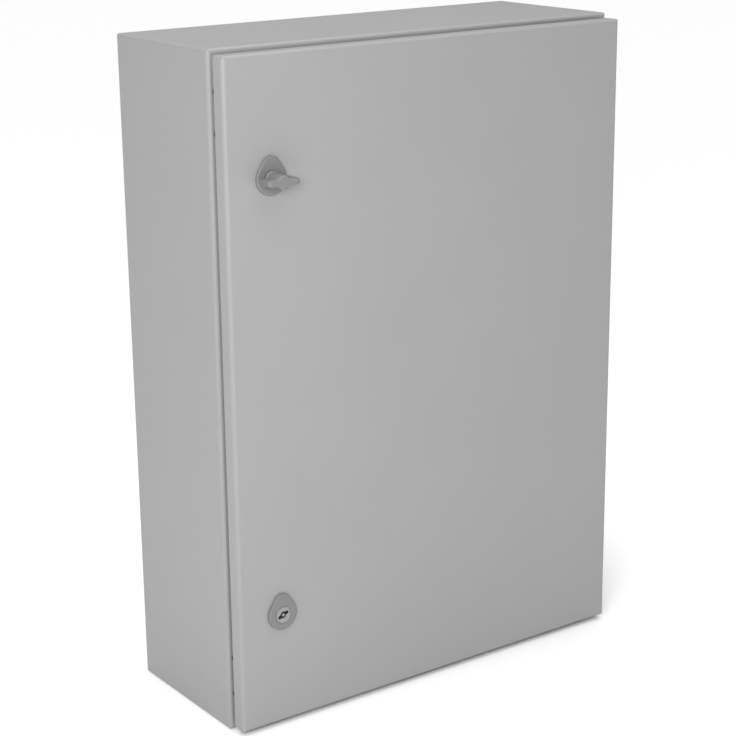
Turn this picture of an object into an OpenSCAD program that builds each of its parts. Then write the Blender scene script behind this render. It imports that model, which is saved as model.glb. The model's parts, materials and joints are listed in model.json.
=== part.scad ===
// Steel wall enclosure with a hinged door, two quarter-turn locks, a mounting plate and a gland plate.
// Frame: +Z up, front towards -Y, origin at the centre of the four wall holes on the rear face.

/* [Body] */
// Width of the body
body_w = 500; // [400:10:600]
// Height of the body
body_h = 700; // [600:10:800]
// Depth of the folded body, without the door
body_depth = 177; // [150:1:275]
// Thickness of the body's sheet
body_sheet = 1.5; // [1.2:0.1:2]
// Outside radius of every bend in body and door
bend_r = 4; // [3:0.1:4.2]
// Front flange, from the side of the body to the inside of the rain lip
flange_w = 27; // [27:0.5:34]
// Outside corner radius of the rain lip
lip_corner_r = 5; // [3:0.5:8]
// Wall holes, from the edges of the body
wall_hole_inset = 20; // [18:0.5:22]
// Radius of a wall hole
wall_hole_r = 4.25; // [3:0.25:5]

/* [Door] */
// Thickness of the door's sheet
door_sheet = 1.5; // [1.2:0.1:2]
// Depth of the door's folded edge
door_return = 16; // [14:0.5:17]
// Gap between the folded edge and the front flange
door_gap = 7; // [6.5:0.5:8]
// The door is narrower than the body by this at each side
door_side_inset = 2; // [1.8:0.1:3]
// The door is shorter than the body by this at each end
door_end_inset = 5; // [3:0.5:7]
// Height of the foamed seal between door and rain lip
seal_h = 6.5; // [5:0.5:8]
// Width of the foamed seal
seal_w = 11; // [8:0.5:11]
// Distance from the side of the body to the middle of a door rail
rail_side = 85; // [84:1:110]
// Distance from the end of the body to the end of a door rail
rail_end = 70; // [50:5:100]
// Width of the raised middle of a door rail
rail_w = 16; // [14:1:18]
// Height of a door rail
rail_h = 12; // [9:0.5:13]
// Width of each foot of a door rail
rail_foot = 7; // [5:0.5:9]
// Thickness of a door rail
rail_sheet = 1.25; // [1:0.25:1.5]
// Spacing of the holes in a door rail
rail_pitch = 25; // [20:1:50]
// Radius of a hole in a door rail
rail_hole_r = 2.75; // [2:0.25:3.5]

/* [Hinges] */
// Pin axis, from the side of the body
hinge_axis_side = 9; // [8.8:0.1:9.4]
// Pin axis, from the front of the door
hinge_axis_front = 12; // [11.8:0.1:12.2]
// Hinge holes, from the side of the body
hinge_hole_side = 9.5; // [9:0.1:10]
// First hinge hole, from the end of the body
hinge_hole_end = 40; // [30:1:60]
// Spacing of the two holes of a hinge
hinge_hole_pitch = 40; // [36:1:50]
// Radius of a hinge hole
hinge_hole_r = 4.25; // [3.5:0.25:4.5]
// Play of a thread in its nut or hole, on the radius
thread_play = 0.1; // [0.05:0.05:0.2]
// Radius of the hinge pin
pin_r = 2.5; // [2:0.1:2.8]
// Radial play of the pin in the body's knuckle
pin_play = 0.05; // [0.02:0.01:0.1]
// Outside radius of the knuckles
knuckle_r = 4; // [3.5:0.1:4.2]
// Length of the body's knuckle
base_knuckle_len = 20; // [14:1:24]
// Length of each of the door's knuckles
leaf_knuckle_len = 16; // [10:1:20]
// End play between knuckles
knuckle_play = 0.4; // [0.2:0.1:0.8]
// Thickness of the plate on the flange
hinge_base_t = 1.8; // [1.5:0.1:2]
// Thickness of the leaf on the door
hinge_leaf_t = 2; // [1.5:0.1:2.5]
// Radius of a hinge screw's shank
hinge_screw_r = 2.5; // [2:0.1:2.9]

/* [Locks] */
// Lock axis, from the side of the body
lock_side = 52; // [50:0.5:60]
// Lock axis, from the end of the body
lock_end = 125; // [105:5:175]
// Radius of the wide end of the escutcheon
egg_r = 17; // [16.5:0.1:19]
// Rise of the wide end's centre above the lock axis
egg_rise = 0.8; // [0:0.1:3]
// Radius of the narrow end of the escutcheon
egg_tip_r = 10.5; // [8:0.1:12]
// Height of the escutcheon's top above the lock axis
egg_top = 23; // [22:0.1:27]
// Thickness of the escutcheon
egg_t = 3.4; // [3:0.1:5]
// Bevel round the escutcheon's face
egg_bevel = 1.2; // [0.6:0.1:1.6]
// Radius of the threaded barrel
barrel_r = 11; // [10.5:0.1:11.5]
// Width across the barrel's flats
barrel_flats = 20; // [19:0.1:20.5]
// Length of the barrel behind the door's face
barrel_len = 22; // [18:0.5:23]
// Play of the barrel in the door's hole, on the radius
barrel_play = 0.25; // [0.1:0.05:0.5]
// Width across flats of the barrel's nut
barrel_nut_af = 27; // [25:0.5:28]
// Thickness of the barrel's nut
barrel_nut_t = 5; // [4:0.5:7]
// Radius of the turning core
core_r = 7.5; // [7:0.1:8]
// Radial play of the core in the barrel
core_play = 0.05; // [0.02:0.01:0.1]
// Radius of the core's head
core_head_r = 8.6; // [8.3:0.1:9]
// Thickness of the core's head
core_head_t = 2; // [1.5:0.1:2.5]
// Clearance round the core's head
core_head_clear = 0.35; // [0.3:0.05:0.5]
// Radius of the pin in the key recess
key_pin_r = 1.6; // [1.2:0.1:1.8]
// Radius of the key recess
key_r = 3.7; // [3.2:0.1:4]
// Distance between the ends of the two key bits
key_span = 12.6; // [11:0.1:13]
// Width of a key bit's slot
key_slot_w = 3.6; // [2.5:0.1:4]
// Depth of the key recess
key_depth = 9; // [6:0.5:11]
// Angle of the key slots above the horizontal
key_angle = 25; // [0:5:90]
// Side of the core's square end
square_w = 8; // [7:0.1:9]
// Play between the square end and what sits on it
square_play = 0.1; // [0.05:0.05:0.2]
// Length of a cam, from the lock axis to its tip
cam_len = 46; // [38:0.5:47]
// Radius of a cam round the lock axis
cam_r = 10.5; // [9:0.1:11]
// Radius of a cam's tip
cam_tip_r = 7.5; // [5:0.1:8.5]
// Thickness of a cam
cam_t = 3; // [2:0.1:4]
// Clearance between a cam and the flange it hooks behind
cam_clear = 2.6; // [2.2:0.1:2.8]

/* [Wing knob] */
// Radius of the knob's round foot
knob_r = 9; // [8.4:0.1:10]
// Height of the knob's round foot
knob_foot_h = 1.4; // [1:0.1:3]
// Radius of the hub at its foot
hub_r = 7.8; // [7.5:0.1:8.2]
// Radius of the hub at its front
hub_front_r = 7.2; // [7:0.1:7.5]
// Length of the wings, tip to tip
wing_span = 36; // [30:0.5:46]
// Thickness of the wings
wing_t = 7.4; // [6:0.1:9]
// Height of the wings' rear edge above the escutcheon, at the hub
wing_root_h = 2.6; // [2:0.1:5]
// Height of the wings' rear edge above the escutcheon, at the tips
wing_tip_h = 5.5; // [3:0.1:9]
// Height of the knob above the escutcheon
knob_h = 22; // [18:0.5:30]
// Bevel of the wings' front corners
wing_bevel = 2; // [1:0.1:3]
// Depth of the knob's square socket
knob_socket = 9; // [6:0.5:11]

/* [Mounting plate] */
// Margin between the plate and the sides and ends of the body
plate_margin = 25; // [22:1:35]
// Thickness of the mounting plate
plate_t = 2; // [1.5:0.1:3]
// Distance between the rear wall and the plate
plate_gap = 16; // [12:0.5:25]
// Depth of the plate's folded sides
plate_fold = 9; // [6:0.5:11]
// Cut at each corner of the plate, which frees the wall hole
plate_corner = 14; // [12:0.5:18]
// Stud positions, from the plate's edges
plate_stud_inset = 28; // [24:1:34]
// Radius of a plate stud
plate_stud_r = 4; // [3:0.1:4]
// Radius of a stud hole in the plate
plate_hole_r = 4.5; // [4.1:0.1:5]
// Width across flats of a plate nut
plate_nut_af = 13; // [11:0.5:15]
// Height of a plate nut
plate_nut_h = 6.8; // [5:0.1:8]
// Radius of the spacer behind the plate
plate_spacer_r = 6.5; // [5.5:0.1:8]
// Thread of a stud beyond its nut
stud_spare = 3; // [2:0.5:6]

/* [Gland plate] */
// Width of the cut-out in the bottom
gland_w = 300; // [200:5:320]
// Depth of the cut-out in the bottom, front to back
gland_d = 80; // [50:2:90]
// Corner radius of the cut-out
gland_r = 6; // [3:0.5:10]
// Border of the gland plate outside the cut-out
gland_border = 22; // [20:0.5:24]
// Thickness of the gland plate
gland_t = 2; // [1.5:0.1:3]
// Thickness of the gland plate's seal
gland_seal_t = 3; // [2:0.1:4]
// Radius of a gland plate stud
gland_stud_r = 3; // [2:0.1:3]
// Radius of a stud hole in plate and seal
gland_hole_r = 3.3; // [3.1:0.1:3.8]
// Width across flats of a nut on a small stud
small_nut_af = 10; // [8:0.5:11]
// Height of a nut on a small stud
small_nut_h = 5; // [4:0.1:6]

/* [Earthing] */
// Door's earth stud, from the side of the body
earth_side = 48; // [45:1:60]
// Body's earth stud, from the front flange
earth_front = 30; // [20:1:40]
// Door's earth stud, from the bottom of the body
earth_bottom = 60; // [45:1:80]
// Radius of an earth stud
earth_r = 3; // [2:0.1:3]
// Length of an earth stud
earth_len = 14; // [12:0.5:15]
// Radius of an earth washer
earth_washer_r = 6.5; // [5:0.1:8]
// Thickness of an earth washer
earth_washer_t = 1.6; // [1:0.1:2]

/* [Hidden] */
round_fn = 48;
eps = 0.01;

// Colours
paint = [0.70, 0.70, 0.70];
zinc = [0.75, 0.76, 0.76];
zinc_dark = [0.60, 0.60, 0.58];
foam = [0.16, 0.16, 0.17];
lock_grey = [0.42, 0.42, 0.42];
black = [0.05, 0.05, 0.05];

// Planes, from the rear face towards the front
flange_y = -body_depth;
flange_back_y = flange_y + body_sheet;
door_y = flange_y - door_gap - door_return;
door_back_y = door_y + door_sheet;
lip_y = door_back_y + seal_h;
bottom_z = -body_h / 2 + body_sheet;

// Rain lip
lip_w = body_w - 2 * flange_w + 2 * body_sheet;
lip_h = body_h - 2 * flange_w + 2 * body_sheet;

// Door
door_w = body_w - 2 * door_side_inset;
door_h = body_h - 2 * door_end_inset;
rail_x = body_w / 2 - rail_side;
rail_len = body_h - 2 * rail_end;

// Hinges
axis_x = body_w / 2 - hinge_axis_side;
axis_y = door_y + hinge_axis_front;
hinge_hole_x = body_w / 2 - hinge_hole_side;
hinge_z = body_h / 2 - hinge_hole_end - hinge_hole_pitch / 2;
hinge_base_margin = 10;
hinge_base_len = hinge_hole_pitch + 2 * hinge_base_margin;
hinge_base_lip_gap = 1.5;
hinge_base_x0 = lip_w / 2 + hinge_base_lip_gap;
hinge_base_x1 = hinge_hole_x + hinge_hole_r;
hinge_riser_len = 30;
hinge_riser_side = 7.5;
hinge_riser_x1 = axis_x - hinge_riser_side;
hinge_arm_back = 1.5;
hinge_riser_clear = 1.5;
hinge_riser_y = lip_y + hinge_riser_clear;
pin_press = 0.02;
hinge_leaf_web_t = 5;
hinge_spigot_play = 0.1;
leaf_side = 6;
leaf_x0 = axis_x - leaf_side;
leaf_x1 = body_w / 2 - door_side_inset - bend_r;
pin_len = base_knuckle_len + 2 * (leaf_knuckle_len + knuckle_play);
pin_head_rim = 1;
pin_head_r = pin_r + pin_head_rim;
pin_head_t = 1.5;
screw_head_r = 4.75;
screw_head_t = 2.8;
screw_socket_af = 3;
screw_socket_depth = 1.8;

// Plugs in the hinge holes that the door doesn't use
plug_head_rim = 0.4;
plug_head_r = hinge_hole_r + plug_head_rim;
plug_head_t = 0.9;
plug_play = 0.1;
plug_tail = 3;

// Locks
lock_x = -body_w / 2 + lock_side;
lock_z = body_h / 2 - lock_end;
egg_front_y = door_y - egg_t;
egg_land = 0.2;
barrel_back_y = door_y + barrel_len;
lock_seal_rim = 3.2;
lock_seal_r1 = barrel_r + lock_seal_rim;
lock_seal_t = 1;
lock_seal_play = 0.2;
cam_y = flange_back_y + cam_clear;
core_recess = 0.2;
core_front_y = egg_front_y + core_recess;
core_neck_step = 1;
core_neck_r = core_r - core_neck_step;
square_short = 0.2;
cam_screw_r = 2.5;
cam_screw_len = 12;
cam_screw_end_gap = 1;
cam_washer_r = 7;
cam_washer_t = 1.2;
cam_screw_af = 8;
cam_screw_head_t = 3.5;

// Wing knob
knob_clear = 0.4;
knob_y = egg_front_y - knob_clear;
wing_flat = 1;

// Mounting plate
plate_w = body_w - 2 * plate_margin;
plate_h = body_h - 2 * plate_margin;
plate_back_y = -body_sheet - plate_gap;
plate_front_y = plate_back_y - plate_t;
plate_stud_x = plate_w / 2 - plate_stud_inset;
plate_stud_z = plate_h / 2 - plate_stud_inset;

// Gland plate
gland_y = -body_depth / 2;
gland_plate_w = gland_w + 2 * gland_border;
gland_plate_d = gland_d + 2 * gland_border;
gland_stud_x = gland_plate_w / 2 - gland_border / 2;
gland_stud_y = gland_plate_d / 2 - gland_border / 2;
gland_seal_z = bottom_z;
gland_plate_z = bottom_z + gland_seal_t;
gland_nut_z = gland_plate_z + gland_t;
gland_seal_lap = 2;

// Earthing
// Halfway between the gland plate and the side of the body
body_earth_x = (gland_plate_w / 2 + body_w / 2 - body_sheet) / 2;
door_earth_x = body_w / 2 - earth_side;
body_earth_y = flange_y + earth_front;
door_earth_z = -body_h / 2 + earth_bottom;

// ---------- Shapes shared by several pieces ----------

module rounded_rect(w, h, r) {
    square([w, h - 2 * r], center = true);
    square([w - 2 * r, h], center = true);
    for (sx = [-1, 1], sy = [-1, 1])
        translate([sx * (w / 2 - r), sy * (h / 2 - r)])
            circle(r, $fn = round_fn);
}

// A block with every edge bent to radius r, between y = 0 and y = -d
module bent_block(w, d, h, r) {
    intersection() {
        towards_front(0)
            linear_extrude(d)
                rounded_rect(w, h, r);
        translate([0, -d / 2, -h / 2])
            linear_extrude(h)
                rounded_rect(w, d, r);
        translate([-w / 2, -d / 2, 0])
            rotate([90, 0, 90])
                linear_extrude(w)
                    rounded_rect(d, h, r);
    }
}

// Stands a profile drawn in X and Z at depth y, growing towards the front
module towards_front(y) {
    translate([0, y, 0])
        rotate([90, 0, 0])
            children();
}

// Stands a profile drawn in X and Z at depth y, growing towards the rear
module towards_back(y, len) {
    towards_front(y + len)
        children();
}

module at_lock(z) {
    translate([lock_x, 0, z])
        children();
}

module at_plate_studs() {
    for (sx = [-1, 1], sz = [-1, 1])
        translate([sx * plate_stud_x, 0, sz * plate_stud_z])
            children();
}

module at_gland_studs() {
    for (sx = [-1, 0, 1], sy = [-1, 1])
        translate([sx * gland_stud_x, gland_y + sy * gland_stud_y, 0])
            children();
    for (sx = [-1, 1])
        translate([sx * gland_stud_x, gland_y, 0])
            children();
}

module at_hinge_holes(side) {
    for (sz = [-1, 1], hole = [-1, 1])
        translate([side * hinge_hole_x, 0, sz * hinge_z + hole * hinge_hole_pitch / 2])
            children();
}

module hex(af) {
    circle(af / 2 / cos(30), $fn = 6);
}

// A nut on a stud, standing on z = 0
module nut(af, bore_r, h) {
    difference() {
        linear_extrude(h)
            hex(af);
        translate([0, 0, -eps])
            cylinder(r = bore_r + thread_play, h = h + 2 * eps, $fn = round_fn);
    }
}

module washer(r, bore_r, t) {
    difference() {
        cylinder(r = r, h = t, $fn = round_fn);
        translate([0, 0, -eps])
            cylinder(r = bore_r, h = t + 2 * eps, $fn = round_fn);
    }
}

// ---------- Body ----------

module cabinet_body() {
    color(paint)
    difference() {
        union() {
            difference() {
                bent_block(body_w, body_depth, body_h, bend_r);
                translate([0, -body_sheet, 0])
                    bent_block(
                        body_w - 2 * body_sheet,
                        body_depth - 2 * body_sheet,
                        body_h - 2 * body_sheet,
                        bend_r - body_sheet
                    );
            }
            towards_front(flange_back_y)
                linear_extrude(flange_back_y - lip_y)
                    rounded_rect(lip_w, lip_h, lip_corner_r);
        }
        // Mouth inside the rain lip
        towards_front(flange_back_y + eps)
            linear_extrude(flange_back_y - lip_y + 2 * eps)
                rounded_rect(
                    lip_w - 2 * body_sheet,
                    lip_h - 2 * body_sheet,
                    lip_corner_r - body_sheet
                );
        // Wall holes
        for (sx = [-1, 1], sz = [-1, 1])
            translate([
                sx * (body_w / 2 - wall_hole_inset),
                0,
                sz * (body_h / 2 - wall_hole_inset)
            ])
                towards_front(eps)
                    cylinder(r = wall_hole_r, h = body_sheet + 2 * eps, $fn = round_fn);
        // Hinge holes on both sides, so that the door can be hung either way
        for (side = [-1, 1])
            at_hinge_holes(side)
                towards_front(flange_back_y + eps)
                    cylinder(r = hinge_hole_r, h = body_sheet + 2 * eps, $fn = round_fn);
        // Gland cut-out in the bottom
        translate([0, gland_y, -body_h / 2 - eps])
            linear_extrude(body_sheet + 2 * eps)
                rounded_rect(gland_w, gland_d, gland_r);
    }
}

module hinge_hole_plugs() {
    color(black)
    at_hinge_holes(-1) {
        towards_front(flange_y)
            cylinder(r1 = plug_head_r, r2 = plug_head_r - 0.4, h = plug_head_t, $fn = round_fn);
        towards_back(flange_y, body_sheet + plug_tail)
            cylinder(r = hinge_hole_r - plug_play, h = body_sheet + plug_tail, $fn = round_fn);
    }
}

// ---------- Mounting plate ----------

module mounting_plate_studs() {
    color(zinc_dark)
    at_plate_studs()
        towards_front(-body_sheet)
            cylinder(
                r = plate_stud_r,
                h = plate_gap + plate_t + plate_nut_h + stud_spare,
                $fn = round_fn
            );
}

module mounting_plate_spacers() {
    color(zinc_dark)
    at_plate_studs()
        towards_front(-body_sheet)
            washer(plate_spacer_r, plate_stud_r, plate_gap);
}

module plate_outline() {
    cut = plate_corner;
    polygon([
        for (s = [[1, 1], [-1, 1], [-1, -1], [1, -1]], k = [0, 1])
            let (first = s[0] * s[1] > 0 ? k : 1 - k)
            [
                s[0] * (plate_w / 2 - (first == 0 ? 0 : cut)),
                s[1] * (plate_h / 2 - (first == 0 ? cut : 0))
            ]
    ]);
}

module mounting_plate() {
    color(zinc)
    difference() {
        union() {
            towards_front(plate_back_y)
                linear_extrude(plate_t)
                    plate_outline();
            for (side = [-1, 1])
                translate([
                    side * (plate_w - plate_t) / 2 - plate_t / 2,
                    plate_front_y,
                    -plate_h / 2 + plate_corner
                ])
                    cube([plate_t, plate_fold, plate_h - 2 * plate_corner]);
        }
        at_plate_studs()
            towards_front(plate_back_y + eps)
                cylinder(r = plate_hole_r, h = plate_t + 2 * eps, $fn = round_fn);
    }
}

module mounting_plate_nuts() {
    color(zinc_dark)
    at_plate_studs()
        towards_front(plate_front_y)
            nut(plate_nut_af, plate_stud_r, plate_nut_h);
}

// ---------- Gland plate ----------

module gland_plate_studs() {
    color(zinc_dark)
    at_gland_studs()
        translate([0, 0, bottom_z])
            cylinder(
                r = gland_stud_r,
                h = gland_seal_t + gland_t + small_nut_h + stud_spare,
                $fn = round_fn
            );
}

module gland_plate_seal() {
    color(foam)
    difference() {
        translate([0, gland_y, gland_seal_z])
            linear_extrude(gland_seal_t)
                difference() {
                    rounded_rect(gland_plate_w, gland_plate_d, gland_r);
                    rounded_rect(gland_w + 2 * gland_seal_lap, gland_d + 2 * gland_seal_lap, gland_r);
                }
        at_gland_studs()
            translate([0, 0, gland_seal_z - eps])
                cylinder(r = gland_hole_r, h = gland_seal_t + 2 * eps, $fn = round_fn);
    }
}

module gland_plate() {
    color(paint)
    difference() {
        translate([0, gland_y, gland_plate_z])
            linear_extrude(gland_t)
                rounded_rect(gland_plate_w, gland_plate_d, gland_r);
        at_gland_studs()
            translate([0, 0, gland_plate_z - eps])
                cylinder(r = gland_hole_r, h = gland_t + 2 * eps, $fn = round_fn);
    }
}

module gland_plate_nuts() {
    color(zinc_dark)
    at_gland_studs()
        translate([0, 0, gland_nut_z])
            nut(small_nut_af, gland_stud_r, small_nut_h);
}

// ---------- Earthing ----------

module earth_nut() {
    washer(earth_washer_r, earth_r, earth_washer_t);
    translate([0, 0, earth_washer_t])
        nut(small_nut_af, earth_r, small_nut_h);
}

module at_body_earth() {
    translate([body_earth_x, body_earth_y, bottom_z])
        children();
}

module body_earth_stud() {
    color(zinc_dark)
    at_body_earth()
        cylinder(r = earth_r, h = earth_len, $fn = round_fn);
}

module body_earth_nut() {
    color(zinc_dark)
    at_body_earth()
        earth_nut();
}

module at_door_earth() {
    translate([door_earth_x, door_back_y, door_earth_z])
        rotate([-90, 0, 0])
            children();
}

module door_earth_stud() {
    color(zinc_dark)
    at_door_earth()
        cylinder(r = earth_r, h = earth_len, $fn = round_fn);
}

module door_earth_nut() {
    color(zinc_dark)
    at_door_earth()
        earth_nut();
}

// ---------- Hinges ----------

// The fixed half: a plate on the flange with spigots in its holes, and a riser beside the rain lip whose arm
// holds the middle knuckle from behind, so that the door's folded edge swings between them and the flange
module hinge_base() {
    difference() {
        union() {
            translate([hinge_base_x0, flange_y - hinge_base_t, -hinge_base_len / 2])
                cube([hinge_base_x1 - hinge_base_x0, hinge_base_t, hinge_base_len]);
            for (hole = [-1, 1])
                translate([hinge_hole_x, 0, hole * hinge_hole_pitch / 2])
                    towards_front(flange_back_y)
                        cylinder(
                            r = hinge_hole_r - hinge_spigot_play,
                            h = body_sheet + eps,
                            $fn = round_fn
                        );
            translate([hinge_base_x0, hinge_riser_y, -hinge_riser_len / 2])
                cube([hinge_riser_x1 - hinge_base_x0, flange_y - hinge_riser_y, hinge_riser_len]);
            translate([hinge_riser_x1 - eps, hinge_riser_y, -base_knuckle_len / 2])
                cube([axis_x - hinge_riser_x1 + eps, axis_y + hinge_arm_back - hinge_riser_y, base_knuckle_len]);
            translate([axis_x, axis_y, -base_knuckle_len / 2])
                cylinder(r = knuckle_r, h = base_knuckle_len, $fn = round_fn);
        }
        translate([axis_x, axis_y, -base_knuckle_len / 2 - eps])
            cylinder(r = pin_r + pin_play, h = base_knuckle_len + 2 * eps, $fn = round_fn);
        for (hole = [-1, 1])
            translate([hinge_hole_x, 0, hole * hinge_hole_pitch / 2])
                towards_front(flange_back_y + eps)
                    cylinder(
                        r = hinge_screw_r + thread_play,
                        h = body_sheet + hinge_base_t + 2 * eps,
                        $fn = round_fn
                    );
    }
}

module upper_hinge_base() {
    color(zinc)
    translate([0, 0, hinge_z])
        hinge_base();
}

module lower_hinge_base() {
    color(zinc)
    translate([0, 0, -hinge_z])
        hinge_base();
}

module hinge_base_screws() {
    color(zinc_dark)
    at_hinge_holes(1) {
        towards_front(flange_back_y)
            cylinder(r = hinge_screw_r, h = body_sheet + hinge_base_t, $fn = round_fn);
        difference() {
            towards_back(flange_back_y, screw_head_t)
                cylinder(r = screw_head_r, h = screw_head_t, $fn = round_fn);
            towards_back(flange_back_y + screw_head_t - screw_socket_depth, screw_socket_depth + eps)
                linear_extrude(screw_socket_depth + eps)
                    hex(screw_socket_af);
        }
    }
}

// The moving half: a leaf on the door's back and a knuckle above and below the fixed one
module hinge_leaf() {
    knuckle_z = base_knuckle_len / 2 + knuckle_play;
    leaf_len = 2 * (knuckle_z + leaf_knuckle_len);
    difference() {
        union() {
            translate([leaf_x0, door_back_y, -leaf_len / 2])
                cube([leaf_x1 - leaf_x0, hinge_leaf_t, leaf_len]);
            for (side = [0, 1])
                mirror([0, 0, side])
                    translate([axis_x, axis_y, knuckle_z]) {
                        cylinder(r = knuckle_r, h = leaf_knuckle_len, $fn = round_fn);
                        translate([-hinge_leaf_web_t / 2, door_back_y - axis_y, 0])
                            cube([hinge_leaf_web_t, axis_y - door_back_y, leaf_knuckle_len]);
                    }
        }
        translate([axis_x, axis_y, -leaf_len / 2 - eps])
            cylinder(r = pin_r + pin_press, h = leaf_len + 2 * eps, $fn = round_fn);
    }
}

module upper_hinge_leaf() {
    color(zinc)
    translate([0, 0, hinge_z])
        hinge_leaf();
}

module lower_hinge_leaf() {
    color(zinc)
    translate([0, 0, -hinge_z])
        hinge_leaf();
}

module hinge_pin() {
    translate([axis_x, axis_y, 0]) {
        translate([0, 0, -pin_len / 2])
            cylinder(r = pin_r, h = pin_len, $fn = round_fn);
        translate([0, 0, pin_len / 2])
            cylinder(r1 = pin_head_r, r2 = pin_r, h = pin_head_t, $fn = round_fn);
    }
}

module upper_hinge_pin() {
    color(zinc_dark)
    translate([0, 0, hinge_z])
        hinge_pin();
}

module lower_hinge_pin() {
    color(zinc_dark)
    translate([0, 0, -hinge_z])
        hinge_pin();
}

// ---------- Door ----------

// Hole or barrel outline with two flats
module flatted_circle(r, flats) {
    intersection() {
        circle(r, $fn = round_fn);
        square([flats, 2 * r + 2], center = true);
    }
}

module door_panel() {
    spare = 2 * bend_r;
    color(paint)
    difference() {
        translate([0, door_y + door_return + spare, 0])
            bent_block(door_w, door_return + spare, door_h, bend_r);
        translate([0, door_y + door_return + spare, 0])
            bent_block(
                door_w - 2 * door_sheet,
                door_return + spare - door_sheet,
                door_h - 2 * door_sheet,
                bend_r - door_sheet
            );
        // The folded edge ends here
        translate([-door_w / 2 - 1, door_y + door_return, -door_h / 2 - 1])
            cube([door_w + 2, spare + 1, door_h + 2]);
        // Lock holes
        for (sz = [-1, 1])
            at_lock(sz * lock_z)
                towards_front(door_back_y + eps)
                    linear_extrude(door_sheet + 2 * eps)
                        flatted_circle(barrel_r + barrel_play, barrel_flats + 2 * barrel_play);
    }
}

module door_seal() {
    inner_w = lip_w - body_sheet - seal_w;
    inner_h = lip_h - body_sheet - seal_w;
    color(foam)
    towards_front(lip_y)
        linear_extrude(seal_h)
            difference() {
                rounded_rect(inner_w + 2 * seal_w, inner_h + 2 * seal_w, seal_w);
                rounded_rect(inner_w, inner_h, lip_corner_r);
            }
}

// A hat-shaped rail: two feet on the door and a raised middle with a row of holes
module door_rail() {
    foot_w = rail_w / 2 + rail_foot;
    hole_count = floor((rail_len - rail_pitch) / rail_pitch);
    difference() {
        translate([0, door_back_y, -rail_len / 2])
            linear_extrude(rail_len)
                polygon([
                    [-foot_w, 0],
                    [-rail_w / 2 + rail_sheet, 0],
                    [-rail_w / 2 + rail_sheet, rail_h - rail_sheet],
                    [rail_w / 2 - rail_sheet, rail_h - rail_sheet],
                    [rail_w / 2 - rail_sheet, 0],
                    [foot_w, 0],
                    [foot_w, rail_sheet],
                    [rail_w / 2, rail_sheet],
                    [rail_w / 2, rail_h],
                    [-rail_w / 2, rail_h],
                    [-rail_w / 2, rail_sheet],
                    [-foot_w, rail_sheet]
                ]);
        for (i = [0 : hole_count])
            translate([0, 0, (i - hole_count / 2) * rail_pitch])
                towards_front(door_back_y + rail_h + eps)
                    cylinder(r = rail_hole_r, h = rail_sheet + 2 * eps, $fn = round_fn);
    }
}

module left_door_rail() {
    color(zinc)
    translate([-rail_x, 0, 0])
        door_rail();
}

module right_door_rail() {
    color(zinc)
    translate([rail_x, 0, 0])
        door_rail();
}

// ---------- Locks ----------

// Two circles on the Z axis and the flanks that touch both
module tapered_outline(r1, z1, r2, z2) {
    tilt = asin((r1 - r2) / (z2 - z1));
    translate([0, z1])
        circle(r1, $fn = round_fn);
    translate([0, z2])
        circle(r2, $fn = round_fn);
    polygon([
        [r1 * cos(tilt), z1 + r1 * sin(tilt)],
        [r2 * cos(tilt), z2 + r2 * sin(tilt)],
        [-r2 * cos(tilt), z2 + r2 * sin(tilt)],
        [-r1 * cos(tilt), z1 + r1 * sin(tilt)]
    ]);
}

module egg_outline(inset) {
    tapered_outline(egg_r - inset, egg_rise, egg_tip_r - inset, egg_top - egg_tip_r);
}

module lock_housing() {
    difference() {
        union() {
            hull() {
                towards_front(door_y)
                    linear_extrude(egg_t - egg_bevel)
                        egg_outline(0);
                towards_front(egg_front_y + egg_land)
                    linear_extrude(egg_land)
                        egg_outline(egg_bevel);
            }
            towards_back(door_y - eps, barrel_len + eps)
                linear_extrude(barrel_len + eps)
                    flatted_circle(barrel_r, barrel_flats);
        }
        // Bore for the core, and the wider seat of its head
        towards_front(barrel_back_y + eps)
            cylinder(r = core_r + core_play, h = barrel_len + egg_t + 2 * eps, $fn = round_fn);
        towards_front(core_front_y + core_head_t)
            cylinder(r = core_head_r + core_head_clear, h = egg_t, $fn = round_fn);
        // Groove for the seal in the back of the escutcheon
        towards_front(door_y + eps)
            washer(lock_seal_r1 + lock_seal_play, barrel_r, lock_seal_t + eps);
    }
}

module lock_seal() {
    towards_front(door_y)
        washer(lock_seal_r1, barrel_r + lock_seal_play, lock_seal_t);
}

module lock_nut() {
    towards_back(door_back_y, barrel_nut_t)
        nut(barrel_nut_af, barrel_r, barrel_nut_t);
}

module upper_lock_housing() {
    color(lock_grey)
    at_lock(lock_z)
        lock_housing();
}

module lower_lock_housing() {
    color(lock_grey)
    at_lock(-lock_z)
        lock_housing();
}

module upper_lock_seal() {
    color(foam)
    at_lock(lock_z)
        lock_seal();
}

module lower_lock_seal() {
    color(foam)
    at_lock(-lock_z)
        lock_seal();
}

module upper_lock_nut() {
    color(zinc)
    at_lock(lock_z)
        lock_nut();
}

module lower_lock_nut() {
    color(zinc)
    at_lock(-lock_z)
        lock_nut();
}

// Head, round shaft, neck and square end, with a tapped hole for the cam screw
module lock_core() {
    difference() {
        union() {
            towards_front(core_front_y + core_head_t)
                cylinder(r = core_head_r, h = core_head_t, $fn = round_fn);
            towards_front(barrel_back_y)
                cylinder(r = core_r, h = barrel_back_y - core_front_y - core_head_t + eps, $fn = round_fn);
            towards_front(cam_y)
                cylinder(r = core_neck_r, h = cam_y - barrel_back_y + eps, $fn = round_fn);
            translate([-square_w / 2, cam_y - eps, -square_w / 2])
                cube([square_w, cam_t - square_short + eps, square_w]);
        }
        towards_front(cam_y + cam_t)
            cylinder(r = cam_screw_r, h = cam_screw_len, $fn = round_fn);
    }
}

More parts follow.
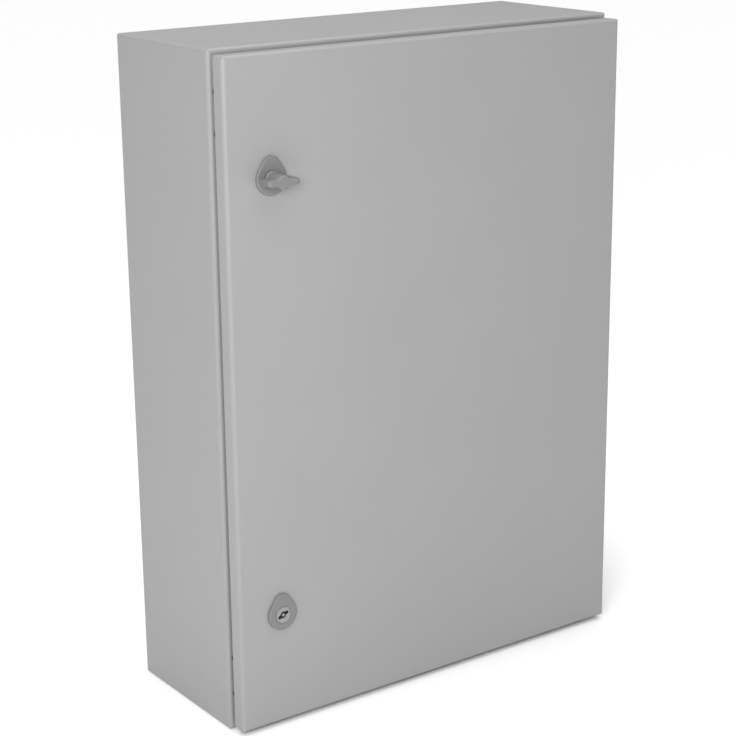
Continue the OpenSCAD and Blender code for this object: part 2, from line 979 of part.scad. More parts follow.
module key_recess() {
    difference() {
        union() {
            cylinder(r = key_r, h = key_depth + 1, $fn = round_fn);
            translate([-key_span / 2, -key_slot_w / 2, 0])
                cube([key_span, key_slot_w, key_depth + 1]);
        }
        translate([0, 0, -1])
            cylinder(r = key_pin_r, h = key_depth + 1, $fn = round_fn);
    }
}

module lower_key_core() {
    color(lock_grey)
    at_lock(-lock_z)
        difference() {
            lock_core();
            towards_front(core_front_y + key_depth)
                rotate(key_angle)
                    key_recess();
        }
}

module upper_spindle() {
    socket_len = knob_clear + core_front_y - egg_front_y + knob_socket;
    color(zinc)
    at_lock(lock_z) {
        lock_core();
        translate([-square_w / 2, core_front_y - socket_len + knob_clear, -square_w / 2])
            cube([square_w, socket_len - knob_clear + eps, square_w]);
    }
}

// The wings seen from above, with their rear edge rising from the hub to the tips
module wing_profile() {
    tip = wing_span / 2;
    root = hub_front_r - 1;
    polygon([
        [-tip, -wing_tip_h],
        [-tip, wing_bevel - knob_h],
        [wing_bevel - tip, -knob_h],
        [tip - wing_bevel, -knob_h],
        [tip, wing_bevel - knob_h],
        [tip, -wing_tip_h],
        [root, -wing_root_h],
        [-root, -wing_root_h]
    ]);
}

module wing_knob() {
    hub_top = knob_h - knob_clear;
    color(lock_grey)
    at_lock(lock_z)
        difference() {
            union() {
                towards_front(knob_y)
                    cylinder(r = knob_r, h = knob_foot_h, $fn = round_fn);
                towards_front(knob_y)
                    cylinder(r1 = hub_r, r2 = hub_front_r, h = hub_top, $fn = round_fn);
                intersection() {
                    translate([0, egg_front_y, -wing_t / 2])
                        linear_extrude(wing_t)
                            wing_profile();
                    towards_front(egg_front_y)
                        linear_extrude(knob_h + 1)
                            rounded_rect(wing_span, wing_t, wing_t / 2 - wing_flat);
                }
            }
            towards_front(knob_y + eps)
                linear_extrude(knob_socket)
                    square(square_w + 2 * square_play, center = true);
        }
}

// Hangs below the lock axis when released
module cam() {
    difference() {
        towards_back(cam_y, cam_t)
            linear_extrude(cam_t)
                rotate(180)
                    tapered_outline(cam_r, 0, cam_tip_r, cam_len - cam_tip_r);
        towards_back(cam_y - eps, cam_t + 2 * eps)
            linear_extrude(cam_t + 2 * eps)
                square(square_w + 2 * square_play, center = true);
    }
}

module cam_screw() {
    head_y = cam_y + cam_t;
    towards_front(head_y)
        cylinder(r = cam_screw_r, h = cam_screw_len - cam_screw_end_gap, $fn = round_fn);
    towards_back(head_y, cam_washer_t)
        cylinder(r = cam_washer_r, h = cam_washer_t, $fn = round_fn);
    towards_back(head_y + cam_washer_t, cam_screw_head_t)
        linear_extrude(cam_screw_head_t)
            hex(cam_screw_af);
}

module upper_cam() {
    color(zinc)
    at_lock(lock_z)
        cam();
}

module lower_cam() {
    color(zinc)
    at_lock(-lock_z)
        cam();
}

module upper_cam_screw() {
    color(zinc_dark)
    at_lock(lock_z)
        cam_screw();
}

module lower_cam_screw() {
    color(zinc_dark)
    at_lock(-lock_z)
        cam_screw();
}

cabinet_body();
mounting_plate_studs();
mounting_plate_spacers();
mounting_plate();
mounting_plate_nuts();
gland_plate_studs();
gland_plate_seal();
gland_plate();
gland_plate_nuts();
hinge_hole_plugs();
body_earth_stud();
body_earth_nut();
upper_hinge_base();
lower_hinge_base();
hinge_base_screws();
door_panel();
door_seal();
left_door_rail();
right_door_rail();
door_earth_stud();
door_earth_nut();
upper_hinge_leaf();
lower_hinge_leaf();
upper_hinge_pin();
lower_hinge_pin();
upper_lock_housing();
upper_lock_seal();
upper_lock_nut();
lower_lock_housing();
lower_lock_seal();
lower_lock_nut();
upper_spindle();
wing_knob();
upper_cam();
upper_cam_screw();
lower_key_core();
lower_cam();
lower_cam_screw();
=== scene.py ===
import json
import math

import bmesh
import bpy
from mathutils import Matrix, Vector


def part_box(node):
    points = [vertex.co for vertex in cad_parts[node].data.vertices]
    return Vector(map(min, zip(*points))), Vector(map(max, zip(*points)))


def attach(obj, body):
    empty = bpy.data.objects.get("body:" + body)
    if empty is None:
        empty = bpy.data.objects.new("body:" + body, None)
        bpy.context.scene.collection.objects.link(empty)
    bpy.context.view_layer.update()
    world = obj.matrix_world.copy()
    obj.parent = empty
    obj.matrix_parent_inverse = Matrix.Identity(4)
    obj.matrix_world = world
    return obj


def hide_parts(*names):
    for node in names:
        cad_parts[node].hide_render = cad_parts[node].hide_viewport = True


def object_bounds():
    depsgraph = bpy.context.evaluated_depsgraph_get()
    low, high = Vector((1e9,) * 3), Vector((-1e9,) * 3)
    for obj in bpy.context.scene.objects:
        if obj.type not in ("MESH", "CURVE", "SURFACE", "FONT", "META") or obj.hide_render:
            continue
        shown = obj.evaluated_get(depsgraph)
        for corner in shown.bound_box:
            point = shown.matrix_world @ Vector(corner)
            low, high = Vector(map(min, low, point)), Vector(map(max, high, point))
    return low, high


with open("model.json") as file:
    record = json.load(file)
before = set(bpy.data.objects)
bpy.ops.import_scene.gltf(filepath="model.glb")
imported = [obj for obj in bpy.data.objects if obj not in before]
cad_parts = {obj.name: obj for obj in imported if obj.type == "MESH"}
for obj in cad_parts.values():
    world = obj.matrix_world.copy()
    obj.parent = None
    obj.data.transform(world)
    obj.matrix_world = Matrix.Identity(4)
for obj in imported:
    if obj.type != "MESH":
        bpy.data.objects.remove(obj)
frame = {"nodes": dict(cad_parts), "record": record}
cad_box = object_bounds()

# ---------- Camera ----------
CAMERA_AZIMUTH = math.radians(35.436)
CAMERA_ELEVATION = math.radians(16.541)
CAMERA_ROLL = math.radians(-0.647)
CAMERA_DISTANCE = 2.0263
CAMERA_LENS = 91.58
SENSOR_WIDTH = 36.0
AIM_FROM_CENTRE = Vector((-0.0195, 0.0066, -0.0174))


def make_camera(centre):
    """A long lens from the front left and a little above, aimed just off the middle of the enclosure."""
    cos_up = math.cos(CAMERA_ELEVATION)
    ahead = Vector((
        math.sin(CAMERA_AZIMUTH) * cos_up,
        math.cos(CAMERA_AZIMUTH) * cos_up,
        -math.sin(CAMERA_ELEVATION),
    ))
    right = Vector((math.cos(CAMERA_AZIMUTH), -math.sin(CAMERA_AZIMUTH), 0))
    up = right.cross(ahead)
    rolled_right = right * math.cos(CAMERA_ROLL) + up * math.sin(CAMERA_ROLL)
    rolled_up = up * math.cos(CAMERA_ROLL) - right * math.sin(CAMERA_ROLL)
    data = bpy.data.cameras.new("camera")
    data.lens = CAMERA_LENS
    data.sensor_width = SENSOR_WIDTH
    camera = bpy.data.objects.new("camera", data)
    turn = Matrix((rolled_right, rolled_up, -ahead)).transposed()
    eye = centre + AIM_FROM_CENTRE - ahead * CAMERA_DISTANCE
    camera.matrix_world = Matrix.Translation(eye) @ turn.to_4x4()
    bpy.context.collection.objects.link(camera)
    bpy.context.scene.camera = camera


# ---------- Materials ----------
def new_material(name):
    material = bpy.data.materials.new(name)
    material.use_nodes = True
    nodes = material.node_tree.nodes
    shader = nodes["Principled BSDF"]
    return material, material.node_tree, shader


def add_node(tree, kind, **inputs):
    node = tree.nodes.new(kind)
    for key, value in inputs.items():
        node.inputs[key.replace("_", " ")].default_value = value
    return node


def noise(tree, coords, scale, detail=2.0, roughness=0.5):
    node = add_node(tree, "ShaderNodeTexNoise", Scale=scale, Detail=detail, Roughness=roughness)
    tree.links.new(coords, node.inputs["Vector"])
    return node.outputs["Fac"]


def spread(tree, value, low, high):
    node = add_node(tree, "ShaderNodeMapRange")
    node.inputs["To Min"].default_value = low
    node.inputs["To Max"].default_value = high
    tree.links.new(value, node.inputs["Value"])
    return node.outputs["Result"]


def tint(tree, value, dark, light):
    node = tree.nodes.new("ShaderNodeMix")
    node.data_type = "RGBA"
    node.inputs["A"].default_value = (*dark, 1)
    node.inputs["B"].default_value = (*light, 1)
    tree.links.new(value, node.inputs["Factor"])
    return node.outputs["Result"]


def bump(tree, shader, height, distance, strength=1.0):
    node = add_node(tree, "ShaderNodeBump", Strength=strength, Distance=distance)
    tree.links.new(height, node.inputs["Height"])
    tree.links.new(node.outputs["Normal"], shader.inputs["Normal"])


def object_coords(tree):
    return tree.nodes.new("ShaderNodeTexCoord").outputs["Object"]


def powder_coat():
    material, tree, shader = new_material("grey_powder_coat")
    coords = object_coords(tree)
    tree.links.new(
        tint(tree, noise(tree, coords, 9, 3), (0.262, 0.262, 0.261), (0.280, 0.280, 0.278)),
        shader.inputs["Base Color"],
    )
    tree.links.new(spread(tree, noise(tree, coords, 60, 2), 0.38, 0.46), shader.inputs["Roughness"])
    bump(tree, shader, noise(tree, coords, 420, 2), 0.00006)
    return material


def plain_metal(name, dark, light, rough_low, rough_high):
    material, tree, shader = new_material(name)
    coords = object_coords(tree)
    shader.inputs["Metallic"].default_value = 1
    tree.links.new(tint(tree, noise(tree, coords, 120, 3), dark, light), shader.inputs["Base Color"])
    roughness = spread(tree, noise(tree, coords, 300, 3), rough_low, rough_high)
    tree.links.new(roughness, shader.inputs["Roughness"])
    bump(tree, shader, noise(tree, coords, 900, 2), 0.00002)
    return material


def moulded_plastic(name, dark, light):
    material, tree, shader = new_material(name)
    coords = object_coords(tree)
    tree.links.new(tint(tree, noise(tree, coords, 80, 3), dark, light), shader.inputs["Base Color"])
    tree.links.new(spread(tree, noise(tree, coords, 400, 2), 0.45, 0.6), shader.inputs["Roughness"])
    bump(tree, shader, noise(tree, coords, 1500, 2), 0.00004)
    return material


def foam():
    material, tree, shader = new_material("seal_foam")
    coords = object_coords(tree)
    colour = tint(tree, noise(tree, coords, 300, 4), (0.02, 0.02, 0.021), (0.045, 0.045, 0.047))
    tree.links.new(colour, shader.inputs["Base Color"])
    shader.inputs["Roughness"].default_value = 0.85
    bump(tree, shader, noise(tree, coords, 900, 4), 0.0002)
    return material


FINISHES = {
    "grey_paint": powder_coat(),
    "galvanised_sheet": plain_metal("galvanised_sheet", (0.50, 0.51, 0.52), (0.62, 0.63, 0.64), 0.35, 0.5),
    "zinc_plating": plain_metal("zinc_plating", (0.52, 0.52, 0.50), (0.62, 0.62, 0.60), 0.25, 0.4),
    "die_cast_zinc": plain_metal("die_cast_zinc", (0.30, 0.30, 0.30), (0.36, 0.36, 0.36), 0.4, 0.55),
    "grey_plastic": moulded_plastic("grey_plastic", (0.15, 0.15, 0.15), (0.175, 0.175, 0.175)),
    "seal_foam": foam(),
    "black_plastic": moulded_plastic("black_plastic", (0.015, 0.015, 0.015), (0.022, 0.022, 0.022)),
}


def dress_cad_nodes():
    for part in frame["record"]["subparts"]:
        obj = frame["nodes"][part["node"]]
        obj.data.materials.clear()
        obj.data.materials.append(FINISHES[part["material_slot"]])


# ---------- Mesh pieces ----------
TO_FRONT = Matrix(((1, 0, 0), (0, 0, -1), (0, 1, 0)))
TO_BACK = Matrix(((1, 0, 0), (0, 0, 1), (0, -1, 0)))
TO_TOP = Matrix.Identity(3)
MM = 0.001
ROUND_STEPS = 48
STUD_STEPS = 28
WELD_STEPS = 24
NUT_FACE_SHARE = 0.475
NUT_BEVEL_SLOPE = math.tan(math.radians(30))
EARTH_NUT_AF = 10.0
WASHER_NOTCH = 0.45
BODY_OF = {
    node: body
    for body, nodes in frame["record"]["behaviour"]["bodies"].items()
    for node in nodes
}
SLOT_OF = {part["node"]: part["material_slot"] for part in frame["record"]["subparts"]}


def solids(node):
    """The box of each separate solid of a CAD node, as (lowest corner, highest corner)."""
    mesh = frame["nodes"][node].data
    parent = {}

    def root(key):
        while parent[key] != key:
            parent[key] = parent[parent[key]]
            key = parent[key]
        return key

    keys = [tuple(round(c * 100000) for c in v.co) for v in mesh.vertices]
    for key in keys:
        parent[key] = key
    for polygon in mesh.polygons:
        first = root(keys[polygon.vertices[0]])
        for index in polygon.vertices[1:]:
            parent[root(keys[index])] = first
    groups = {}
    for v, key in zip(mesh.vertices, keys):
        groups.setdefault(root(key), []).append(v.co)
    boxes = []
    for points in groups.values():
        low = Vector([min(p[i] for p in points) for i in range(3)])
        high = Vector([max(p[i] for p in points) for i in range(3)])
        boxes.append((low, high))
    return sorted(boxes, key=lambda b: tuple(b[0]))


def finish_mesh(bm, name, node, sharp=35):
    """Turns bm into an object with the node's finish that rides on the node's body."""
    bmesh.ops.recalc_face_normals(bm, faces=bm.faces)
    mesh = bpy.data.meshes.new(name)
    bm.to_mesh(mesh)
    bm.free()
    for polygon in mesh.polygons:
        polygon.use_smooth = True
    mesh.set_sharp_from_angle(angle=math.radians(sharp))
    obj = bpy.data.objects.new(name, mesh)
    bpy.context.collection.objects.link(obj)
    obj.data.materials.append(FINISHES[SLOT_OF[node]])
    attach(obj, BODY_OF[node])
    return obj


def stand_for(bm, node, sharp=35):
    obj = finish_mesh(bm, node + "_detailed", node, sharp)
    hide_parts(node)
    return obj


def loft(bm, origin, turn, rings, close_start=True, close_end=True, loop=False):
    """Joins rings of (x, y, z) points in millimetres, all with the same number of points."""
    made = [[bm.verts.new(Vector(origin) + turn @ (Vector(p) * MM)) for p in ring] for ring in rings]
    pairs = list(zip(made, made[1:]))
    if loop:
        pairs.append((made[-1], made[0]))
    for a, b in pairs:
        for i in range(len(a)):
            j = (i + 1) % len(a)
            bm.faces.new((a[i], a[j], b[j], b[i]))
    if close_start and not loop:
        bm.faces.new(made[0])
    if close_end and not loop:
        bm.faces.new(made[-1])


def circle(r, z, steps):
    angles = [2 * math.pi * i / steps for i in range(steps)]
    return [(r * math.cos(a), r * math.sin(a), z) for a in angles]


def hex_radius(af, angle):
    within = angle % (math.pi / 3) - math.pi / 6
    return af / 2 / math.cos(within)


def hex_ring(af, steps, z, chamfer_from=None, sign=1):
    """A hexagon on the rings' points; beyond the radius chamfer_from it drops by 30 degrees."""
    points = []
    for i in range(steps):
        a = 2 * math.pi * i / steps
        r = hex_radius(af, a)
        drop = 0 if chamfer_from is None else (r - chamfer_from) * NUT_BEVEL_SLOPE
        points.append((r * math.cos(a), r * math.sin(a), z - sign * drop))
    return points


def add_nut(bm, origin, turn, af, bore, height, start=0.0, steps=ROUND_STEPS):
    """A hexagon nut with both faces chamfered and both ends of its bore countersunk."""
    face_r = af * NUT_FACE_SHARE
    lead = 0.6
    loft(bm, origin, turn, [
        circle(bore + lead, start, steps),
        circle(face_r, start, steps),
        hex_ring(af, steps, start, face_r, -1),
        hex_ring(af, steps, start + height, face_r, 1),
        circle(face_r, start + height, steps),
        circle(bore + lead, start + height, steps),
        circle(bore, start + height - lead, steps),
        circle(bore, start + lead, steps),
    ], loop=True)


def add_thread(bm, origin, turn, r, pitch, z0, z1, steps=STUD_STEPS):
    """A rod with a helical thread from z0 to z1 and bevelled ends."""
    depth = pitch * 0.54
    chamfer = 0.8
    per_turn = 4
    end_r = r - depth - 0.2
    count = max(2, round((z1 - z0) / pitch * per_turn))
    rings = [circle(end_r, z0, steps)]
    for k in range(count + 1):
        z = z0 + (z1 - z0) * k / count
        points = []
        for i in range(steps):
            a = 2 * math.pi * i / steps
            phase = (z / pitch - i / steps) % 1.0
            cut = depth * abs(2 * phase - 1)
            limit = end_r + (min(z - z0, z1 - z) / chamfer) * (depth + 0.2)
            here = min(r - cut, max(limit, end_r))
            points.append((here * math.cos(a), here * math.sin(a), z))
        rings.append(points)
    rings.append(circle(end_r, z1, steps))
    loft(bm, origin, turn, rings)


def stand_on(box, side):
    """Foot, turn, length and both widths of a solid that stands out to the front, back or top."""
    low, high = box
    middle = (low + high) / 2
    size = high - low
    if side == "top":
        return Vector((middle.x, middle.y, low.z)), TO_TOP, size.z, size.x, size.y
    foot_y, turn = (high.y, TO_FRONT) if side == "front" else (low.y, TO_BACK)
    return Vector((middle.x, foot_y, middle.z)), turn, size.y, size.x, size.z


def threaded_studs(node, pitch, side):
    bm = bmesh.new()
    for box in solids(node):
        foot, turn, length, width, _ = stand_on(box, side)
        add_thread(bm, foot, turn, width / 2 / MM, pitch, 0.0, length / MM)
    stand_for(bm, node, 50)


def add_toothed_washer(bm, foot, turn, bore, outer_r, thick):
    """A plain disc with a smaller toothed one on it."""
    hole_r = bore + 0.2
    plain_top = thick * 0.55
    discs = ((outer_r, 0.0, 0.0, plain_top), (outer_r * 0.86, WASHER_NOTCH, plain_top, thick))
    for rim_r, notch, z0, z1 in discs:
        rims = []
        for z in (z0, z1):
            rim = []
            for i in range(ROUND_STEPS):
                a = 2 * math.pi * i / ROUND_STEPS
                r = rim_r - (notch if i % 4 < 2 else 0.0)
                rim.append((r * math.cos(a), r * math.sin(a), z))
            rims.append(rim)
        rings = [circle(hole_r, z0, ROUND_STEPS), *rims, circle(hole_r, z1, ROUND_STEPS)]
        loft(bm, foot, turn, rings, loop=True)


def chamfered_nuts(node, bore, side, washer_t=0.0, washer_r=0.0):
    """Nuts with chamfered corners; where washer_t is given, each sits on a toothed washer."""
    bm = bmesh.new()
    for box in solids(node):
        foot, turn, length, width, depth = stand_on(box, side)
        af = min(width, depth) / MM
        if washer_t:
            add_toothed_washer(bm, foot, turn, bore, washer_r, washer_t)
            af = EARTH_NUT_AF
        add_nut(bm, foot, turn, af, bore, length / MM - washer_t, washer_t)
    stand_for(bm, node)


# ---------- Locks ----------
LOCK_EGG_R = 17.0
LOCK_EGG_RISE = 0.8
LOCK_TIP_R = 10.5
LOCK_TOP = 23.0
LOCK_THICK = 3.4
BARREL_R = 11.0
BARREL_FLAT = 10.0
CORE_BORE = 7.55
HEAD_SEAT_R = 8.95


def lock_point(node):
    """The lock axis where it meets the door's front, from the lock's own seal, which is centred on it."""
    low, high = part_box(node)
    return Vector(((low.x + high.x) / 2, high.y, (low.z + high.z) / 2))


def egg_ring(inset, z, steps=96):
    tip_z = LOCK_TOP - LOCK_TIP_R
    tilt = math.asin((LOCK_EGG_R - LOCK_TIP_R) / (tip_z - LOCK_EGG_RISE))
    points = []
    for i in range(steps):
        a = 2 * math.pi * i / steps
        on_tip = math.sin(a) > math.sin(tilt)
        cy, r = (tip_z, LOCK_TIP_R) if on_tip else (LOCK_EGG_RISE, LOCK_EGG_R)
        points.append(((r - inset) * math.cos(a), cy + (r - inset) * math.sin(a), z))
    return points


def circle_like(ring, r, z, flat=None):
    points = []
    for x, y, _ in ring:
        d = math.hypot(x, y)
        px = r * x / d
        if flat is not None:
            px = max(-flat, min(flat, px))
        points.append((px, r * y / d, z))
    return points


def lock_housing(node, seal_node):
    """Escutcheon with a rounded rim and a dish round the core, and a threaded barrel with two flats."""
    door_front = lock_point(seal_node)
    low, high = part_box(node)
    barrel = (high.y - door_front.y) / MM
    t = LOCK_THICK
    outer = egg_ring(0, 0)
    rings = [
        circle_like(outer, CORE_BORE, -barrel),
        circle_like(outer, BARREL_R - 1.0, -barrel, BARREL_FLAT - 0.4),
    ]
    pitch = 1.5
    depth = 0.75
    count = round((barrel - 1.2) / pitch * 4)
    for k in range(count + 1):
        z = -barrel + 0.4 + (barrel - 1.2) * k / count
        ring = []
        for i, (x, y, _) in enumerate(outer):
            phase = (z / pitch - i / len(outer)) % 1.0
            r = BARREL_R - depth * abs(2 * phase - 1)
            d = math.hypot(x, y)
            ring.append((max(-BARREL_FLAT, min(BARREL_FLAT, r * x / d)), r * y / d, z))
        rings.append(ring)
    rings += [
        circle_like(outer, BARREL_R - 0.4, 0.02, BARREL_FLAT),
        egg_ring(0.25, 0.02),
        egg_ring(0, 0.3),
        egg_ring(0, t - 1.25),
        egg_ring(0.12, t - 0.8),
        egg_ring(0.42, t - 0.42),
        egg_ring(0.9, t - 0.14),
        egg_ring(1.5, t - 0.02),
        egg_ring(2.2, t),
        circle_like(outer, HEAD_SEAT_R + 1.5, t),
        circle_like(outer, HEAD_SEAT_R + 0.35, t),
        circle_like(outer, HEAD_SEAT_R, t - 0.3),
        circle_like(outer, HEAD_SEAT_R, 1.2),
        circle_like(outer, CORE_BORE, 1.2),
    ]
    bm = bmesh.new()
    loft(bm, door_front, TO_FRONT, rings, loop=True)
    stand_for(bm, node, 40)


def wing_knob():
    """A round foot, a tapering hub and two wings that grow out of it with moulded fillets."""
    door_front = lock_point("upper_lock_seal")
    low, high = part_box("wing_knob")
    base = (door_front.y - high.y) / MM
    top = (door_front.y - low.y) / MM
    half = (high.x - low.x) / 2 / MM
    thick = 3.7
    power = 5.0
    angles = []
    quarter = 20
    for q in range(4 * quarter):
        t = 2 * math.pi * q / (4 * quarter)
        c, s = math.cos(t), math.sin(t)
        x = half * math.copysign(abs(c) ** (2 / power), c)
        y = thick * math.copysign(abs(s) ** (2 / power), s)
        angles.append(math.atan2(y, x) % (2 * math.pi))
    angles += [2 * math.pi * i / 56 + 0.03 for i in range(56)]
    angles = sorted(angles)
    kept = [angles[0]]
    for a in angles[1:]:
        if a - kept[-1] > 0.004:
            kept.append(a)

    def outline(hub, wing, wing_thick, z, inset=0.0):
        points = []
        for a in kept:
            c, s = abs(math.cos(a)), abs(math.sin(a))
            r = hub - inset
            if wing > hub:
                w = ((c / (wing - inset)) ** power + (s / (wing_thick - inset)) ** power) ** (-1 / power)
                r = (r ** 9 + w ** 9) ** (1 / 9)
            points.append((r * math.cos(a), r * math.sin(a), z))
        return points

    foot = 9.0
    hub_low, hub_high = 7.8, 7.2
    rings = [
        outline(foot - 0.5, 0, thick, base),
        outline(foot, 0, thick, base + 0.3),
        outline(foot, 0, thick, base + 0.9),
        outline(foot - 0.35, 0, thick, base + 1.3),
        outline(hub_low + 0.25, 0, thick, base + 1.6),
    ]
    root_z, tip_z = 6.2, 9.0
    steps = 34
    for k in range(steps + 1):
        z = base + 2.0 + (top - 1.5 - base - 2.0) * k / steps
        hub = hub_low + (hub_high - hub_low) * (z - base) / (top - base)
        rise = (z - root_z) / (tip_z - root_z)
        if rise <= 0:
            wing = 0.0
            wing_thick = thick
        else:
            share = min(1.0, rise)
            share = share * share * (3 - 2 * share)
            wing = hub + (half - hub) * share
            taper = (z - root_z) / (top - root_z)
            wing_thick = thick * (0.9 + 0.1 * math.sin(math.pi * min(1.0, taper)))
        over = max(0.0, z - (top - 4.5)) / 4.5
        if wing:
            wing -= 0.9 * over ** 2
        rings.append(outline(hub, wing, wing_thick, z))
    wing_end = half - 0.9
    for inset, drop in ((0.12, 1.1), (0.35, 0.7), (0.7, 0.35), (1.15, 0.12), (1.7, 0.0)):
        rings.append(outline(hub_high, wing_end, thick * 0.9, top - drop, inset))
    bm = bmesh.new()
    loft(bm, door_front, TO_FRONT, rings)
    stand_for(bm, "wing_knob", 50)


# ---------- Door seal ----------
def door_seal():
    """A foamed bead with a rounded back, dented along its middle where the rain lip presses into it."""
    low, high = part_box("door_seal")
    width = 11.0
    height = (high.y - low.y) / MM
    half_x = (high.x - low.x) / 2 - width / 2 * MM
    half_z = (high.z - low.z) / 2 - width / 2 * MM
    r = 0.0085
    path = []
    corner = 10
    corners = (
        (half_x - r, half_z - r, 0),
        (-half_x + r, half_z - r, 90),
        (-half_x + r, -half_z + r, 180),
        (half_x - r, -half_z + r, 270),
    )
    for cx, cz, start in corners:
        for k in range(corner + 1):
            a = math.radians(start + 90 * k / corner)
            outward = Vector((math.cos(a), math.sin(a)))
            path.append((Vector((cx + r * math.cos(a), cz + r * math.sin(a))), outward))
    dense = []
    for i, (p, n) in enumerate(path):
        q, m = path[(i + 1) % len(path)]
        gap = (q - p).length
        count = max(1, round(gap / 0.012))
        for k in range(count):
            dense.append((p.lerp(q, k / count), n.lerp(m, k / count).normalized()))
    flank = [
        (5.4, 0.0), (5.45, 0.9), (5.2, 2.2), (4.7, 3.6), (3.8, 4.9),
        (2.7, 5.8), (1.7, 6.25), (0.95, 6.3), (0.8, 5.95),
    ]
    section = [(-u, v) for u, v in flank] + flank[::-1]
    bm = bmesh.new()
    rings = []
    for index, (p, n) in enumerate(dense):
        swell = 0.12 * math.sin(index * 0.37) + 0.08 * math.sin(index * 0.93 + 1.0)
        ring = []
        for u, v in section:
            u2 = u * (1 - 0.02 + 0.012 * swell)
            v2 = v * (height / 6.5) * (1 - 0.004 + 0.006 * swell) if v else 0.0
            point = p + n * (u2 * MM)
            ring.append(bm.verts.new((point.x, low.y + v2 * MM, point.y)))
        rings.append(ring)
    for a, b in zip(rings, rings[1:] + rings[:1]):
        for i in range(len(section)):
            j = (i + 1) % len(section)
            bm.faces.new((a[i], a[j], b[j], b[i]))
    stand_for(bm, "door_seal", 60)


# ---------- Cam screws ----------
def cam_screw(node):
    """A hexagon head with a dimple, a flat washer and a threaded shank."""
    washer_r, washer_t, washer_hole_r, rim = 7.0, 1.2, 2.6, 0.15
    head_af, head_top, dimple_r = 8.0, 4.7, 2.2
    low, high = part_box(node)
    middle = (low + high) / 2
    washer_y = high.y - head_top * MM
    origin = Vector((middle.x, washer_y, middle.z))
    bm = bmesh.new()
    loft(bm, origin, TO_BACK, [
        circle(washer_hole_r, 0.0, ROUND_STEPS),
        circle(washer_r - rim, 0.0, ROUND_STEPS),
        circle(washer_r, rim, ROUND_STEPS),
        circle(washer_r, washer_t - rim, ROUND_STEPS),
        circle(washer_r - rim, washer_t, ROUND_STEPS),
        circle(washer_hole_r, washer_t, ROUND_STEPS),
    ], loop=True)
    loft(bm, origin, TO_BACK, [
        circle(3.6, washer_t, ROUND_STEPS),
        hex_ring(head_af, ROUND_STEPS, washer_t + 0.05),
        hex_ring(head_af, ROUND_STEPS, head_top, head_af * NUT_FACE_SHARE, 1),
        circle(head_af * NUT_FACE_SHARE, head_top, ROUND_STEPS),
        circle(dimple_r, head_top, ROUND_STEPS),
        circle(dimple_r - 0.3, head_top - 0.25, ROUND_STEPS),
    ])
    add_thread(bm, origin, TO_FRONT, 2.5, 0.8, 0.0, (washer_y - low.y) / MM, steps=24)
    stand_for(bm, node, 40)


# ---------- Small marks of how it is made ----------
def weld_spots():
    """Shallow dished spots where the rails' feet are welded to the door."""
    foot = 3.5 * MM
    foot_t = 1.25 * MM
    count = 8
    dish = ((2.3, -0.05), (2.2, 0.06), (1.9, 0.12), (1.6, 0.05), (0.9, 0.02))
    for node in ("left_door_rail", "right_door_rail"):
        low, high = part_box(node)
        bm = bmesh.new()
        for x in (low.x + foot, high.x - foot):
            for k in range(count):
                z = low.z + (high.z - low.z) * (k + 0.5) / count
                rings = [circle(r, rise, WELD_STEPS) for r, rise in dish]
                loft(bm, Vector((x, low.y + foot_t, z)), TO_BACK, rings)
        finish_mesh(bm, node + "_weld_spots", node)


def stud_collars():
    """The small collar of weld metal round the foot of each drawn-arc welded stud."""
    collar = ((0.25, 0.0), (0.25, 0.15), (0.1, 0.3), (-0.4, 0.35))
    for node, side in (("body_earth_stud", "top"), ("gland_plate_studs", "top"), ("door_earth_stud", "back")):
        bm = bmesh.new()
        for box in solids(node):
            foot, turn, _, width, _ = stand_on(box, side)
            loft(bm, foot, turn, [circle(width / 2 / MM + out, z, STUD_STEPS) for out, z in collar])
        finish_mesh(bm, node + "_weld_collars", node)


def soften_edges():
    """Small rounded edges on the CAD pieces, as sheared, cast and moulded edges have."""
    for node, width in (
        ("upper_hinge_base", 0.5), ("lower_hinge_base", 0.5),
        ("upper_hinge_leaf", 0.5), ("lower_hinge_leaf", 0.5),
        ("upper_cam", 0.4), ("lower_cam", 0.4), ("mounting_plate", 0.3), ("gland_plate", 0.3),
        ("left_door_rail", 0.25), ("right_door_rail", 0.25),
        ("hinge_hole_plugs", 0.25), ("hinge_base_screws", 0.3),
        ("lower_key_core", 0.2), ("mounting_plate_spacers", 0.4),
        ("upper_hinge_pin", 0.3), ("lower_hinge_pin", 0.3),
    ):
        obj = frame["nodes"][node]
        weld = obj.modifiers.new("join_corners", "WELD")
        weld.merge_threshold = 0.00002
        bevel = obj.modifiers.new("soft_edges", "BEVEL")
        bevel.width = width * MM
        bevel.segments = 2
        bevel.limit_method = "ANGLE"
        bevel.angle_limit = math.radians(40)
        bevel.harden_normals = True


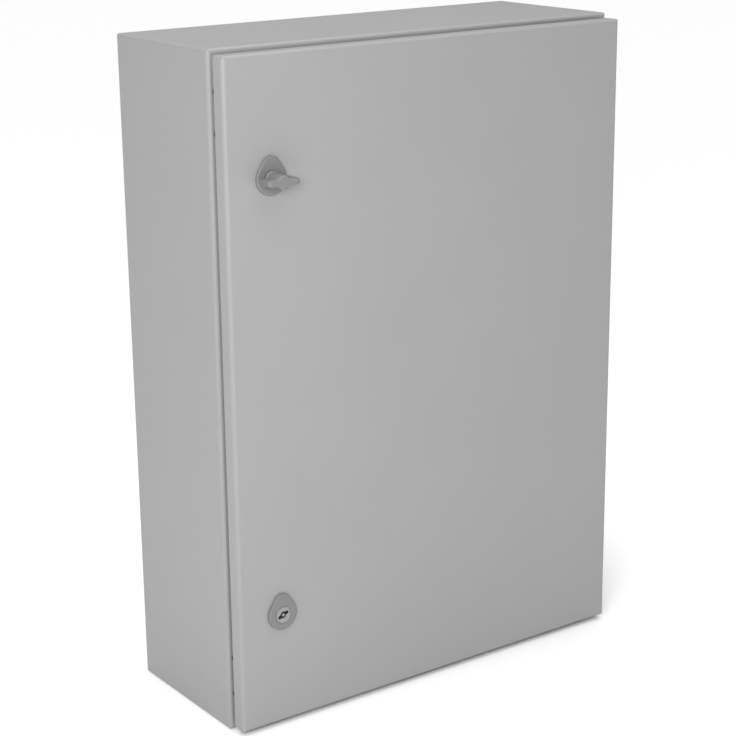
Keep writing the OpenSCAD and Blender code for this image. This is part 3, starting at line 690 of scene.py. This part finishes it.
def make_pieces():
    threaded_studs("mounting_plate_studs", 1.25, "front")
    threaded_studs("gland_plate_studs", 1.0, "top")
    threaded_studs("body_earth_stud", 1.0, "top")
    threaded_studs("door_earth_stud", 1.0, "back")
    chamfered_nuts("mounting_plate_nuts", 3.9, "front")
    chamfered_nuts("gland_plate_nuts", 2.9, "top")
    chamfered_nuts("body_earth_nut", 2.9, "top", 1.6, 6.5)
    chamfered_nuts("door_earth_nut", 2.9, "back", 1.6, 6.5)
    chamfered_nuts("upper_lock_nut", 10.8, "back")
    chamfered_nuts("lower_lock_nut", 10.8, "back")
    lock_housing("upper_lock_housing", "upper_lock_seal")
    lock_housing("lower_lock_housing", "lower_lock_seal")
    wing_knob()
    door_seal()
    cam_screw("upper_cam_screw")
    cam_screw("lower_cam_screw")
    weld_spots()
    stud_collars()
    soften_edges()


# ---------- Stage ----------
def area_light(name, place, target, size, power):
    data = bpy.data.lights.new(name, "AREA")
    data.shape = "SQUARE"
    data.size = size
    data.energy = power
    light = bpy.data.objects.new(name, data)
    light.location = place
    light.rotation_euler = (Vector(target) - Vector(place)).to_track_quat("-Z", "Y").to_euler()
    bpy.context.collection.objects.link(light)


def overhead_light(strength):
    """A wide soft light from above, which whitens the floor."""
    data = bpy.data.lights.new("overhead", "SUN")
    data.energy = strength
    data.angle = math.radians(80)
    light = bpy.data.objects.new("overhead", data)
    bpy.context.collection.objects.link(light)


def make_floor(z):
    mesh = bpy.data.meshes.new("floor")
    half = 30
    corners = [(-half, -half, z), (half, -half, z), (half, half, z), (-half, half, z)]
    mesh.from_pydata(corners, [], [(0, 1, 2, 3)])
    floor = bpy.data.objects.new("floor", mesh)
    bpy.context.collection.objects.link(floor)
    material, _, shader = new_material("pale_floor")
    shader.inputs["Base Color"].default_value = (0.95, 0.95, 0.95, 1)
    shader.inputs["Roughness"].default_value = 0.9
    floor.data.materials.append(material)


def make_stage():
    world = bpy.data.worlds.new("studio")
    world.use_nodes = True
    world.node_tree.nodes["Background"].inputs["Color"].default_value = (1, 1, 1, 1)
    world.node_tree.nodes["Background"].inputs["Strength"].default_value = 0.45
    bpy.context.scene.world = world
    bpy.context.scene.view_settings.view_transform = "Standard"
    make_floor(cad_box[0].z)
    area_light("key", (-1.1, -1.3, 0.6), (0, -0.2, 0.05), 0.6, 19)
    area_light("top", (-0.1, -0.08, 1.25), (-0.1, -0.08, 0), 0.5, 3.2)
    overhead_light(1.9)


centre = (cad_box[0] + cad_box[1]) / 2
make_camera(centre)
make_stage()
dress_cad_nodes()
make_pieces()
